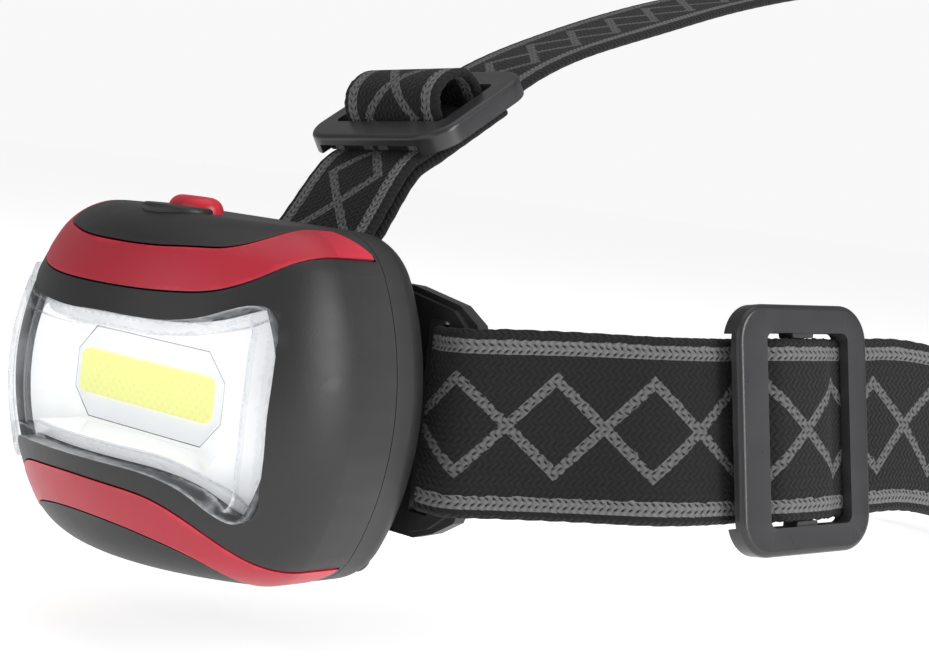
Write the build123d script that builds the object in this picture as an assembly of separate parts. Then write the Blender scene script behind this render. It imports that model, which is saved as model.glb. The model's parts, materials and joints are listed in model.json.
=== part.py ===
from build123d import *
import math
import os

# Headlamp: a lamp head on a tilting bracket, carried by an elastic headband and a top strap.
# Millimetres. The origin is the middle of the forehead pad's back face, where it meets the
# forehead. +Z is up, the lamp shines along -Y, the wearer's head is on the +Y side.

# ---- lamp head, outer form -------------------------------------------------------------
CROWN_Y = -51.5          # foremost point of the curved front
FRONT_R = 39.0           # plan radius of the front
FRONT_HALF_ANGLE = 43.5  # degrees of the front arc each side of the middle
SHOULDER_R = 14.5        # plan radius from the front into the side
BARREL_R = 38.0          # the walls bulge by this radius in height
HALF_HEIGHT = 23.6
EDGE_R = 10.0            # rounding from the walls into the top and the bottom
SEAM_Y = -23.0           # front shell meets rear shell
REAR_Y = -15.4
REAR_ROUND = 4.5
WALL = 2.0
SEAM_GAP = 0.12

FRONT_CENTRE_Y = CROWN_Y + FRONT_R
SHOULDER_X = (FRONT_R - SHOULDER_R) * math.sin(math.radians(FRONT_HALF_ANGLE))
SHOULDER_Y = FRONT_CENTRE_Y - (FRONT_R - SHOULDER_R) * math.cos(math.radians(FRONT_HALF_ANGLE))
HALF_WIDTH = SHOULDER_X + SHOULDER_R
EDGE_Z = HALF_HEIGHT - EDGE_R
EDGE_INSET = BARREL_R - math.sqrt((BARREL_R - EDGE_R) ** 2 - EDGE_Z ** 2)
EDGE_ANGLE = math.degrees(math.atan2(EDGE_Z, BARREL_R - EDGE_INSET))

# ---- window, light engine --------------------------------------------------------------
LENS_PROUD = 0.7
LENS_PANE = 1.4
LENS_RIM = 2.0
LENS_DEPTH = 2.4         # rim thickness measured inwards from the body's surface
LED_Y = -38.5            # front face of the LED board
LED_BOARD = (31.0, 1.2, 12.4)
LED_PHOSPHOR = (27.6, 0.6, 6.0)
HEAT_PLATE = (36.0, 1.2, 9.4)

# ---- batteries -------------------------------------------------------------------------
CELL_R = 5.25            # AAA
CELL_LENGTH = 44.5
NUB_R = 1.9
NUB_LENGTH = 1.0
CELL_PITCH = 11.0
CELL_Y = -24.3
CONTACT_T = 0.4
SPRING_LENGTH = 2.0
TRAY_HALF = (25.2, 17.3)
TRAY_FLOOR_Y = -31.0
TRAY_MOUTH_Y = -19.6

# ---- battery cover ---------------------------------------------------------------------
COVER_HALF_WIDTH = 23.4
COVER_FRONT_Y = -17.4
COVER_FIT = 0.15
COVER_BOTTOM_Z = -17.7
COVER_TRAVEL = 8.0

# ---- hinge -----------------------------------------------------------------------------
PIVOT_Y = -12.7
PIVOT_Z = -20.9
KNUCKLE_R = 2.5
KNUCKLE_HALF = 13.0
ARM_HALF_SPAN = 18.0
PIN_R = 1.0
PIN_FIT = 0.05

# ---- bracket and pad -------------------------------------------------------------------
PLATE_FRONT_Y = -12.2
PLATE_BACK_Y = -9.0
PLATE_HALF_WIDTH = 33.6
PLATE_HALF_HEIGHT = 16.9
PAD_SIZE = (47.0, 5.0, 23.0)
PAD_Z = -3.4

# ---- webbing ---------------------------------------------------------------------------
WEB_WIDTH = 25.0
TOP_WIDTH = 20.0
WEB_T = 1.3
SLOT_HALF = 13.2         # half length of the headband's slots
TOP_SLOT_HALF = 10.7     # half length of the top strap's slots
LEAN = 10.2              # the sides of the band lean in at the top by this many degrees

# ---- tri-glide slider ------------------------------------------------------------------
# each slider: along the webbing, across it, webbing width, rims beside the window, front and back bar
SIDE_GLIDE = (26.0, 34.2, WEB_WIDTH, 3.9, 5.4, 4.2)
TOP_GLIDE = (22.5, 29.6, TOP_WIDTH, 3.4, 5.0, 5.0)
GLIDE_T = 3.0
GLIDE_LIFT = 1.0         # from the webbing's middle surface to the frame's back
CENTRE_BAR = (3.0, 1.5)

os.makedirs("parts", exist_ok=True)


def save(shape, name):
    export_step(shape, "parts/" + name + ".step")


def group(shapes):
    return Compound(children=[s for s in shapes])


def as_one(shape):
    """The single solid of a boolean result."""
    return shape.solids()[0]


def block(x0, x1, y0, y1, z0, z1):
    return Pos((x0 + x1) / 2, (y0 + y1) / 2, (z0 + z1) / 2) * Box(x1 - x0, y1 - y0, z1 - z0)


def rod_x(radius, x0, x1, y, z):
    return Pos((x0 + x1) / 2, y, z) * Rot(0, 90, 0) * Cylinder(radius, x1 - x0)


def rod_y(radius, y0, y1, x, z):
    return Pos(x, (y0 + y1) / 2, z) * Rot(90, 0, 0) * Cylinder(radius, y1 - y0)


def rod_z(radius, z0, z1, x, y):
    return Pos(x, y, (z0 + z1) / 2) * Cylinder(radius, z1 - z0)


def prism_y(outline, y0, y1):
    """A closed outline of (x, z) points, drawn out along Y."""
    face = make_face(Polyline([(x, y0, z) for x, z in outline], close=True))
    return extrude(face, amount=y1 - y0, dir=(0, 1, 0))


def prism_x(outline, x0, x1):
    """A closed outline of (y, z) points, drawn out along X."""
    face = make_face(Polyline([(x0, y, z) for y, z in outline], close=True))
    return extrude(face, amount=x1 - x0, dir=(1, 0, 0))


# ---- the lamp head's body --------------------------------------------------------------
def wall_profile(reach, inset):
    """Half of the body's upright section, from its middle axis out to a wall at reach."""
    barrel_x = reach - BARREL_R
    edge_x = reach - EDGE_INSET
    top = HALF_HEIGHT - inset
    a = math.radians(EDGE_ANGLE)
    b = math.radians((EDGE_ANGLE + 90) / 2)
    br = BARREL_R - inset
    er = EDGE_R - inset
    turn = (barrel_x + br * math.cos(a), br * math.sin(a))
    middle = (edge_x + er * math.cos(b), EDGE_Z + er * math.sin(b))
    lower_turn = (turn[0], -turn[1])
    lower_middle = (middle[0], -middle[1])

    def at(p):
        return (p[0], 0, p[1])

    edges = [
        Line(at((0, -top)), at((edge_x, -top))),
        ThreePointArc(at((edge_x, -top)), at(lower_middle), at(lower_turn)),
        ThreePointArc(at(lower_turn), at((reach - inset, 0)), at(turn)),
        ThreePointArc(at(turn), at(middle), at((edge_x, top))),
        Line(at((edge_x, top)), at((0, top))),
        Line(at((0, top)), at((0, -top))),
    ]
    return make_face(edges)


def head_body(inset, y_end):
    """The body's form with every wall moved in by inset, from the crown back to y_end."""
    angle = FRONT_HALF_ANGLE
    front = revolve(wall_profile(FRONT_R, inset), Axis.Z, 2 * angle)
    front = Pos(0, FRONT_CENTRE_Y, 0) * Rot(0, 0, -90 - angle) * front
    shoulder = revolve(wall_profile(SHOULDER_R, inset), Axis.Z, 90 - angle)
    shoulder = Pos(SHOULDER_X, SHOULDER_Y, 0) * Rot(0, 0, angle - 90) * shoulder
    half = wall_profile(HALF_WIDTH, inset)
    slab = Pos(0, SHOULDER_Y, 0) * extrude(half, amount=y_end - SHOULDER_Y, dir=(0, 1, 0))
    body = front + shoulder + slab
    body = body + mirror(shoulder, Plane.YZ) + mirror(slab, Plane.YZ)
    return body & block(-40, 40, -60, y_end, -30, 30)


def rounded_rear(y0):
    """The body from y0 back to its rear face, with the rear edge rounded."""
    half = wall_profile(HALF_WIDTH, 0)
    slab = Pos(0, y0, 0) * extrude(half, amount=REAR_Y - y0, dir=(0, 1, 0))
    slab = slab + mirror(slab, Plane.YZ)
    rim = slab.faces().sort_by(Axis.Y)[-1].edges()
    return fillet(rim, REAR_ROUND)


# ---- window outline: waisted in the middle, flared at its four corners ------------------
def window_outline(inset):
    """(x, z) points of the window's edge, moved in by inset."""
    upper = [(0.0, 10.1), (9.0, 10.2), (15.0, 10.7), (18.5, 11.7), (21.6, 13.3), (23.4, 13.7)]
    lower = [(0.0, 8.7), (9.0, 8.8), (15.0, 9.4), (18.5, 10.8), (21.4, 13.2), (23.2, 13.9)]
    side = [(25.1, 12.4), (26.1, 9.0), (26.6, 4.5), (26.7, 0.0)]
    low_side = [(26.6, -4.5), (26.0, -9.0), (25.0, -12.4)]
    right = upper + side + low_side + [(x, -z) for x, z in reversed(lower)]
    left = [(-x, z) for x, z in reversed(right[1:-1])]
    loop = right + left
    return shrink(loop, inset)


def shrink(loop, inset):
    """Moves each point of a clockwise (x, z) loop inwards along its corner's normal."""
    if inset == 0:
        return loop
    out = []
    n = len(loop)
    for i in range(n):
        (x0, z0), (x, z), (x1, z1) = loop[i - 1], loop[i], loop[(i + 1) % n]
        tx, tz = x1 - x0, z1 - z0
        size = math.hypot(tx, tz)
        out.append((x + inset * tz / size, z - inset * tx / size))
    return out


def window_prism(inset, y0, y1):
    """The window's outline as a smooth closed curve, drawn out along Y."""
    points = [(x, y0, z) for x, z in window_outline(inset)]
    face = make_face(Spline(points, periodic=True))
    return extrude(face, amount=y1 - y0, dir=(0, 1, 0))


# ---- the two red bands -----------------------------------------------------------------
def band_face(low, high, grow, y):
    """A band seen from the front: low and high are its edges' (x, z) points from the middle out."""
    end_x, end_z = low[-1]
    low = [(x, z - grow) for x, z in low[:-1]] + [(end_x + grow, end_z - grow)]
    high = [(x - (grow if z > 20.5 else 0), z + (grow if z <= 20.5 else 0)) for x, z in high]
    lower = [(-x, y, z) for x, z in reversed(low[1:])] + [(x, y, z) for x, z in low]
    upper = [(-x, y, z) for x, z in reversed(high[1:])] + [(x, y, z) for x, z in high]
    end = end_x + grow
    top = high[-1][0]
    right = Polyline(lower[-1], (end, y, 27.0), (top, y, 27.0), upper[-1])
    left = Polyline(lower[0], (-end, y, 27.0), (-top, y, 27.0), upper[0])
    return make_face([Spline(lower), right, Spline(upper), left])


TOP_LOW = [(0, 13.7), (8, 13.8), (14, 14.2), (18, 15.0), (21.5, 17.1), (24.5, 20.0), (25.3, 20.6)]
TOP_HIGH = [(0, 19.0), (8, 19.2), (13.3, 19.7), (16.6, 20.2), (19.6, 22.4), (20.2, 24.0)]
BOTTOM_LOW = [(0, 11.5), (8, 11.8), (13.4, 12.6), (18.6, 15.6), (22.4, 18.9), (25.3, 20.6)]
BOTTOM_HIGH = [(0, 16.4), (8, 17.0), (13.3, 18.2), (16.6, 19.6), (19.2, 22.2), (19.8, 24.0)]
BAND_END_Y = -23.9


def band_region(low, high, grow, upside_down):
    """Everything that lies within a band's edges, as a block to intersect the body with."""
    region = extrude(band_face(low, high, grow, -54), amount=BAND_END_Y + grow + 54, dir=(0, 1, 0))
    tip = [(-30.5, -54), (30.5, -54), (30.5, BAND_END_Y + grow), (24.6 + grow, BAND_END_Y + grow)]
    tip = tip + [(17.0 - grow, -29.5 + grow), (-17.0 + grow, -29.5 + grow)]
    tip = tip + [(-24.6 - grow, BAND_END_Y + grow), (-30.5, BAND_END_Y + grow)]
    plan = extrude(make_face(Polyline([(x, y, 10) for x, y in tip], close=True)), 20, dir=(0, 0, 1))
    region = region & plan
    if upside_down:
        region = mirror(region, Plane.XY)
    return region


def make_trims(outer, groove_floor, trim_floor):
    """The two bands and the two pockets that hold them."""
    trims = []
    pockets = []
    for low, high, flipped in ((TOP_LOW, TOP_HIGH, False), (BOTTOM_LOW, BOTTOM_HIGH, True)):
        trims.append(as_one((outer - trim_floor) & band_region(low, high, 0.0, flipped)))
        pockets.append((outer - groove_floor) & band_region(low, high, 0.25, flipped))
    return trims, pockets


# ---- button on top ---------------------------------------------------------------------
BUTTON_Y = -33.4
BUTTON_HALF = (4.3, 3.3)
BUTTON_PROUD = 2.1
SURROUND_Y = -36.4
SURROUND_HALF = (5.1, 4.6)
SURROUND_PROUD = 0.7
BUTTON_TRAVEL = 0.8
BOARD_TOP_Z = 15.9
BOARD_T = 1.2
BOARD_HALF = 12.5
BOARD_SCREW_X = 9.8
BOARD_SCREW_Y = -33.4
SWITCH_TOP_Z = BOARD_TOP_Z + 2.6


def oval(half, y, z0, z1):
    face = Pos(0, y, z0) * make_face(Ellipse(half[0], half[1]).edges())
    return extrude(face, amount=z1 - z0, dir=(0, 0, 1))


def make_button():
    """Red cap, its moulded surround, the rubber boot below, and the hole in the roof."""
    top = HALF_HEIGHT
    roof = HALF_HEIGHT - WALL
    wide, deep = BUTTON_HALF
    hole = oval((wide + 0.15, deep + 0.15), BUTTON_Y, top - 4, top + 4)
    surround = oval(SURROUND_HALF, SURROUND_Y, top - 1.5, top + SURROUND_PROUD)
    surround = fillet(surround.edges().group_by(Axis.Z)[-1], 0.55)
    surround = surround - head_body(-0.02, SEAM_Y) - hole
    cap = oval(BUTTON_HALF, BUTTON_Y, top - 1.0, top + BUTTON_PROUD)
    cap = fillet(cap.edges().group_by(Axis.Z)[-1], 1.9)
    skirt = oval((wide - 0.4, deep - 0.4), BUTTON_Y, roof - 0.4, top - 1.0)
    stem = rod_z(1.2, SWITCH_TOP_Z + 0.93, roof - 0.4, 0, BUTTON_Y)
    cap = as_one(cap + skirt + stem)
    boot = oval((wide + 1.7, deep + 1.2), BUTTON_Y, roof - 1.7, roof - 0.05)
    boot = boot - oval((wide + 0.15, deep + 0.15), BUTTON_Y, roof - 1.3, roof + 1)
    boot = boot - rod_z(1.3, 0, 40, 0, BUTTON_Y)
    return hole, as_one(surround), cap, as_one(boot)


def make_electronics():
    board = block(-BOARD_HALF, BOARD_HALF, -42.2, -31.1, BOARD_TOP_Z - BOARD_T, BOARD_TOP_Z)
    places = [(-BOARD_SCREW_X, BOARD_SCREW_Y), (BOARD_SCREW_X, BOARD_SCREW_Y)]
    screws = []
    for x, y in places:
        board = board - rod_z(SCREW_R + SCREW_FIT, 0, 30, x, y)
        shank = rod_z(SCREW_R, BOARD_TOP_Z - BOARD_T - 3.6, BOARD_TOP_Z + 0.5, x, y)
        head = rod_z(1.5, BOARD_TOP_Z + 0.02, BOARD_TOP_Z + 1.1, x, y)
        slot = block(x - 1.2, x + 1.2, y - 0.2, y + 0.2, BOARD_TOP_Z + 0.6, BOARD_TOP_Z + 1.2)
        screws.append(as_one(shank + head - slot))
    y = BUTTON_Y
    z0 = BOARD_TOP_Z + 0.01
    body = block(-2.9, 2.9, y - 2.2, y + 2.2, z0, SWITCH_TOP_Z)
    body = body - rod_z(1.75, SWITCH_TOP_Z - 1.6, SWITCH_TOP_Z + 1, 0, y)
    plunger = rod_z(1.7, SWITCH_TOP_Z - 0.5, SWITCH_TOP_Z + 0.9, 0, y)
    chip = block(5.2, 9.2, -41.0, -38.0, z0, BOARD_TOP_Z + 1.4)
    small = []
    for x in (-9.5, -7.2):
        small.append(block(x, x + 1.2, -41.4, -39.2, z0, BOARD_TOP_Z + 0.6))
    small.append(rod_z(1.6, z0, BOARD_TOP_Z + 3.0, -8.6, -37.0))
    return board, screws, body, plunger, chip, small


# ---- light engine ----------------------------------------------------------------------
def make_lens():
    rim = (head_body(-LENS_PROUD, SEAM_Y) - head_body(LENS_DEPTH, SEAM_Y)) & window_prism(0.06, -54, -30)
    pane_front = head_body(0.1, SEAM_Y)
    pane_back = head_body(0.1 + LENS_PANE, SEAM_Y)
    middle = window_prism(LENS_RIM, -54, -30)
    lens = rim - (middle - (pane_front - pane_back))
    return as_one(lens)


def chamfered_rectangle(half_x, half_z, cut):
    return [
        (-half_x + cut, half_z), (half_x - cut, half_z), (half_x, half_z - cut),
        (half_x, -half_z + cut), (half_x - cut, -half_z), (-half_x + cut, -half_z),
        (-half_x, -half_z + cut), (-half_x, half_z - cut),
    ]


def tray_cavity(grow):
    """The reflector's flared pocket: wide at the window, board-sized at the back."""
    back = chamfered_rectangle(15.6 + grow, 6.3 + grow, 3.6)
    front = chamfered_rectangle(34.0 + grow, 11.6 + grow, 3.6)
    y_back = LED_Y
    y_front = -51.0
    faces = []
    for outline, y in ((back, y_back), (front, y_front)):
        faces.append(make_face(Polyline([(x, y, z) for x, z in outline], close=True)))
    return loft(faces, ruled=True)


def make_reflector():
    inside = head_body(LENS_DEPTH + 0.15, SEAM_Y)
    outer = tray_cavity(1.2) & window_prism(1.0, -54, LED_Y) & inside
    inner = tray_cavity(0.0) & window_prism(2.2, -54, LED_Y + 1)
    flange_zone = inside - head_body(LENS_DEPTH + 1.25, SEAM_Y)
    flange = flange_zone & window_prism(0.3, -54, LED_Y)
    body = (outer + flange) - inner
    return as_one(body)


def make_led():
    w, t, h = LED_BOARD
    outline = chamfered_rectangle(w / 2, h / 2, 3.6)
    board = prism_y(outline, LED_Y, LED_Y + t)
    pw, pt, ph = LED_PHOSPHOR
    phosphor = Pos(0, LED_Y - pt / 2, 0) * Box(pw, pt, ph)
    phosphor = fillet(phosphor.edges().filter_by(Axis.Y), 1.2)
    hw, ht, hh = HEAT_PLATE
    y = LED_Y + t
    plate = block(-hw / 2, hw / 2, y, y + ht, -hh / 2, hh / 2)
    return board, as_one(phosphor), plate


def wire(points, radius, arc):
    """A tube of straight runs joined by arcs."""
    path = FilletPolyline(*points, radius=arc)
    profile = Plane(origin=path @ 0, z_dir=path % 0) * Circle(radius)
    return as_one(sweep(profile, path=path))


def make_wires():
    """Two wires from the LED board and two from the battery contacts, all to the control board."""
    y = LED_Y + LED_BOARD[1]
    under = BOARD_TOP_Z - BOARD_T - 0.02
    led = []
    battery = []
    for side in (-1, 1):
        x = 6.0 * side
        led.append(wire([(x, y + 0.02, 5.5), (x, y + 2.2, 5.5), (x, y + 2.2, under)], 0.45, 1.6))
        battery.append(battery_wire(side, under))
    return led, battery


def battery_wire(side, under):
    """From a terminal through the tray's wall to the board's underside."""
    x0 = 20.0 * side
    x1 = 4.0 * side
    y = -33.2
    start = TRAY_FLOOR_Y + 0.6
    rise = [(x0, y, 8.0), (x1, y, 9.6), (x1, y, under)]
    if side > 0:
        points = [(x0, start, 8.0)] + rise
    else:
        points = [(x0, start, -CELL_PITCH), (x0, y, -CELL_PITCH)] + rise
    return wire(points, 0.45, 1.2)


# ---- batteries -------------------------------------------------------------------------
def cell_rows():
    """(z, direction of the positive end) of each cell."""
    return [(-CELL_PITCH, 1), (0.0, -1), (CELL_PITCH, 1)]


def make_cell(z, way):
    """Alternate cells point opposite ways, so that they are in series."""
    reach = CELL_LENGTH / 2
    shift = way * (SPRING_LENGTH / 2)
    can_end = reach - NUB_LENGTH
    x0 = -reach + shift if way > 0 else -can_end + shift
    x1 = can_end + shift if way > 0 else reach + shift
    can = rod_x(CELL_R, x0, x1, CELL_Y, z)
    can = chamfer(can.edges().filter_by(GeomType.CIRCLE), 0.5)
    if way > 0:
        nub = rod_x(NUB_R, x1, x1 + NUB_LENGTH, CELL_Y, z)
    else:
        nub = rod_x(NUB_R, x0 - NUB_LENGTH, x0, CELL_Y, z)
    return as_one(can + nub)


def contact_face():
    """Inner face of the contact plates, from the middle."""
    return CELL_LENGTH / 2 + SPRING_LENGTH / 2


def make_contacts():
    face = contact_face()
    plates = []
    low, high = -CELL_PITCH, CELL_PITCH
    half = 3.6
    spans = [(1, low, low), (1, 0.0, high), (-1, low, 0.0), (-1, high, high)]
    for side, z0, z1 in spans:
        x0, x1 = sorted((side * face, side * (face + CONTACT_T)))
        plates.append(block(x0, x1, CELL_Y - half, CELL_Y + half, z0 - half, z1 + half))
    springs = []
    for z, way in cell_rows():
        coil = Helix(pitch=0.72, height=SPRING_LENGTH - 0.56, radius=2.3)
        profile = Plane(origin=coil @ 0, z_dir=coil % 0) * Circle(0.25)
        turn = sweep(profile, path=coil)
        turn = as_one(turn)
        if way > 0:
            springs.append(Pos(-face + 0.28, CELL_Y, z) * Rot(0, 90, 0) * turn)
        else:
            springs.append(Pos(face - 0.28, CELL_Y, z) * Rot(0, -90, 0) * turn)
    return plates, springs


def make_tray():
    hx, hz = TRAY_HALF
    tray = block(-hx, hx, TRAY_FLOOR_Y, TRAY_MOUTH_Y - 0.05, -hz, hz)
    tray = chamfer(tray.edges().filter_by(Axis.Y), 1.5)
    back = LED_Y + LED_BOARD[1] + HEAT_PLATE[1]
    for x in (-16.0, 16.0):
        for z in (-2.6, 2.6):
            tray = tray + rod_y(1.3, back + 0.02, TRAY_FLOOR_Y + 0.3, x, z)
    inner = contact_face() + CONTACT_T
    for z, _ in cell_rows():
        tray = tray - rod_x(CELL_R + 0.1, -inner, inner, CELL_Y, z)
        mouth = block(-inner, inner, CELL_Y, TRAY_MOUTH_Y + 1, z - CELL_R + 0.25, z + CELL_R - 0.25)
        tray = tray - mouth
    gap = contact_face() - 0.4
    for side in (-1, 1):
        x0, x1 = sorted((side * gap, side * inner))
        tray = tray - block(x0, x1, CELL_Y - 3.7, TRAY_MOUTH_Y + 1, -CELL_PITCH - 3.7, CELL_PITCH + 3.7)
    for side in (-1, 1):
        z = 8.0 if side > 0 else -CELL_PITCH
        tray = tray - rod_y(0.5, TRAY_FLOOR_Y - 1, TRAY_FLOOR_Y + 0.8, 20.0 * side, z)
    return as_one(tray)


# ---- shells ----------------------------------------------------------------------------
SCREW_PLACES = [(-13.0, 19.6), (13.0, 19.6), (-13.0, -19.6), (13.0, -19.6)]
SCREW_R = 0.8
SCREW_FIT = 0.05
BOSS_R = 2.1


def make_front_shell(pockets, button_hole):
    shell = head_body(0, SEAM_Y - SEAM_GAP / 2) - head_body(WALL, SEAM_Y + 1)
    shell = shell - window_prism(0, -54, -30) - button_hole
    for pocket in pockets:
        shell = shell - pocket
    inside = head_body(WALL - 0.2, SEAM_Y + 1)
    for x, z in SCREW_PLACES:
        boss = rod_y(BOSS_R, -31.0, SEAM_Y - SEAM_GAP / 2, x, z)
        lift = 2.6 if z > 0 else -2.6
        foot = block(x - 1.4, x + 1.4, -31.0, SEAM_Y - SEAM_GAP / 2, min(z, z + lift), max(z, z + lift))
        shell = shell + ((boss + foot) & inside)
        shell = shell - rod_y(SCREW_R + SCREW_FIT, -30.0, SEAM_Y + 1, x, z)
    for x in (-BOARD_SCREW_X, BOARD_SCREW_X):
        shell = shell + board_post(x)
    groove = seal_ring(0.06)
    return as_one(shell - groove)


def board_post(x):
    """A hollow post that hangs from the roof beside the board and holds its screw from below."""
    y = BOARD_SCREW_Y
    z1 = BOARD_TOP_Z - BOARD_T
    z0 = z1 - 4.2
    foot = block(x - 1.7, x + 1.7, y - 1.7, y + 1.7, z0, z1 - 0.02)
    side = 1 if x > 0 else -1
    x0, x1 = sorted((x + 1.0 * side, side * (BOARD_HALF + 2.0)))
    arm = block(x0, x1, y - 1.7, y + 1.7, z0, z1 - 0.02)
    x0, x1 = sorted((side * (BOARD_HALF + 0.4), side * (BOARD_HALF + 2.0)))
    web = block(x0, x1, y - 1.7, y + 1.7, z0, HALF_HEIGHT - WALL + 0.3)
    return foot + arm + web - rod_z(SCREW_R + SCREW_FIT, z0 - 1, z1 + 1, x, y)


def seal_ring(fit):
    """A flat rubber ring let into both shells at the seam."""
    y0, y1 = SEAM_Y - 0.5 - fit, SEAM_Y + 0.5 + fit
    rings = []
    for inset in (0.8 - fit, 1.5 + fit):
        half = wall_profile(HALF_WIDTH, inset)
        slab = Pos(0, y0, 0) * extrude(half, amount=y1 - y0, dir=(0, 1, 0))
        rings.append(slab + mirror(slab, Plane.YZ))
    return as_one(rings[0] - rings[1])


def cover_space(fit):
    """The channel in the rear shell that the battery cover fills."""
    half = COVER_HALF_WIDTH + fit
    space = block(-half, half, COVER_FRONT_Y - fit, REAR_Y + 5, COVER_BOTTOM_Z - fit, 40)
    return space


def cover_tongues(fit, travel):
    """Four tongues beside the cover, which slide under the shell's edge."""
    tongues = []
    for side in (-1, 1):
        for z0 in (-14.0, 2.0):
            x0, x1 = sorted((side * (COVER_HALF_WIDTH - 0.2), side * (COVER_HALF_WIDTH + 0.8 + fit)))
            z1 = z0 + 4.0 + travel
            tongues.append(block(x0, x1, COVER_FRONT_Y - fit, COVER_FRONT_Y + 0.9 + fit, z0 - fit, z1 + fit))
    return tongues


def make_rear_shell():
    start = SEAM_Y + SEAM_GAP / 2
    shell = rounded_rear(start)
    half = wall_profile(HALF_WIDTH, WALL)
    hollow = Pos(0, start - 1, 0) * extrude(half, amount=TRAY_MOUTH_Y - start + 1, dir=(0, 1, 0))
    shell = shell - hollow - mirror(hollow, Plane.YZ)
    shell = shell - block(-22.7, 22.7, -24, -10, -16.4, 16.4)
    shell = shell - cover_space(COVER_FIT)
    for tongue in cover_tongues(0.12, COVER_TRAVEL + 0.2):
        shell = shell - tongue
    web = block(-KNUCKLE_HALF, KNUCKLE_HALF, -19.0, PIVOT_Y, PIVOT_Z - KNUCKLE_R, PIVOT_Z + 1.6)
    web = web & rod_web()
    barrel = rod_x(KNUCKLE_R, -KNUCKLE_HALF, KNUCKLE_HALF, PIVOT_Y, PIVOT_Z)
    shell = shell + web + barrel
    shell = shell - rod_x(PIN_R + PIN_FIT, -40, 40, PIVOT_Y, PIVOT_Z)
    for x, z in SCREW_PLACES:
        shell = shell - rod_y(SCREW_R + SCREW_FIT, -30, -10, x, z)
        shell = shell - rod_y(1.65, screw_seat(z), -10, x, z)
    return as_one(shell - seal_ring(0.06))


def rod_web():
    """Side outline of the web between the rear shell and the hinge barrel."""
    outline = [(-19.0, -18.4), (-15.0, -18.4), (PIVOT_Y - 0.4, PIVOT_Z + KNUCKLE_R - 0.1)]
    outline = outline + [(PIVOT_Y, PIVOT_Z), (PIVOT_Y, PIVOT_Z - KNUCKLE_R + 0.02), (-19.0, -22.9)]
    return prism_x(outline, -KNUCKLE_HALF, KNUCKLE_HALF)


def make_cover():
    body = rounded_rear(SEAM_Y)
    cover = body & cover_space(0.0)
    cover = cover - block(-40, 40, -30, COVER_FRONT_Y, -30, 40)
    for tongue in cover_tongues(0.0, 0.0):
        cover = cover + tongue
    for i in range(5):
        z = 8.5 + 2.0 * i
        cover = cover + block(-7.0, 7.0, REAR_Y - 0.2, REAR_Y + 0.6, z, z + 0.9)
    return as_one(cover)


def screw_seat(z):
    """The upper pair sit deeper, under the battery cover; the lower pair are in the open."""
    return COVER_FRONT_Y - 1.3 if z > 0 else COVER_FRONT_Y


def make_shell_screws():
    screws = []
    for x, z in SCREW_PLACES:
        seat = screw_seat(z) + 0.02
        shank = rod_y(SCREW_R, -29.5, seat + 0.5, x, z)
        head = rod_y(1.6, seat, seat + 1.1, x, z)
        slot = block(x - 1.3, x + 1.3, seat + 0.6, seat + 1.2, z - 0.2, z + 0.2)
        cross = block(x - 0.2, x + 0.2, seat + 0.6, seat + 1.2, z - 1.3, z + 1.3)
        screws.append(as_one(shank + head - slot - cross))
    return screws


# ---- bracket ---------------------------------------------------------------------------
SIDE_SLOT = (25.6, 29.0)
TOP_SLOT = (10.8, 14.0)


def plate_outline(inset):
    h = PLATE_HALF_HEIGHT - inset
    w = PLATE_HALF_WIDTH - inset
    right = [(0, h + 0.4), (21.0, h + 0.2), (29.6, h - 1.4), (w - 0.6, h - 3.6), (w, h - 5.0)]
    right = right + [(w, -h + 5.0), (w - 0.6, -h + 3.4), (29.4, -h + 1.2), (26.0, -h), (0, -h)]
    left = [(-x, z) for x, z in reversed(right[1:-1])]
    return right + left


def make_bracket():
    step = 1.1
    plate = prism_y(plate_outline(0.0), PLATE_FRONT_Y + step, PLATE_BACK_Y)
    plate = plate + prism_y(plate_outline(0.8), PLATE_FRONT_Y, PLATE_FRONT_Y + step)
    boss = prism_y(chamfered_rectangle(22.4, 10.6, 3.0), PLATE_BACK_Y, -PAD_SIZE[1])
    plate = plate + Pos(0, 0, PAD_Z) * boss
    for side in (-1, 1):
        x0, x1 = sorted((side * SIDE_SLOT[0], side * SIDE_SLOT[1]))
        plate = plate - block(x0, x1, -20, 0, -SLOT_HALF, SLOT_HALF)
    plate = plate - block(-TOP_SLOT_HALF, TOP_SLOT_HALF, -20, 0, TOP_SLOT[0], TOP_SLOT[1])
    for side in (-1, 1):
        x0, x1 = sorted((side * (KNUCKLE_HALF + 0.3), side * ARM_HALF_SPAN))
        outline = [(PLATE_BACK_Y, -12.0), (PLATE_BACK_Y, -20.4), (PIVOT_Y, PIVOT_Z - KNUCKLE_R)]
        outline = outline + [(PIVOT_Y - 0.01, PIVOT_Z), (PLATE_FRONT_Y + 0.2, -17.6), (PLATE_FRONT_Y + 0.2, -12.0)]
        arm = prism_x(outline, x0, x1) + rod_x(KNUCKLE_R, x0, x1, PIVOT_Y, PIVOT_Z)
        plate = plate + arm - rod_x(PIN_R + 0.02, x0 - 1, x1 + 1, PIVOT_Y, PIVOT_Z)
    return as_one(plate)


def make_pin():
    return rod_x(PIN_R, -ARM_HALF_SPAN, ARM_HALF_SPAN, PIVOT_Y, PIVOT_Z)


def make_pad():
    w, t, h = PAD_SIZE
    pad = Pos(0, -t / 2, PAD_Z) * Box(w, t, h)
    pad = fillet(pad.edges().filter_by(Axis.Y), 5.0)
    return as_one(pad)


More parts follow.
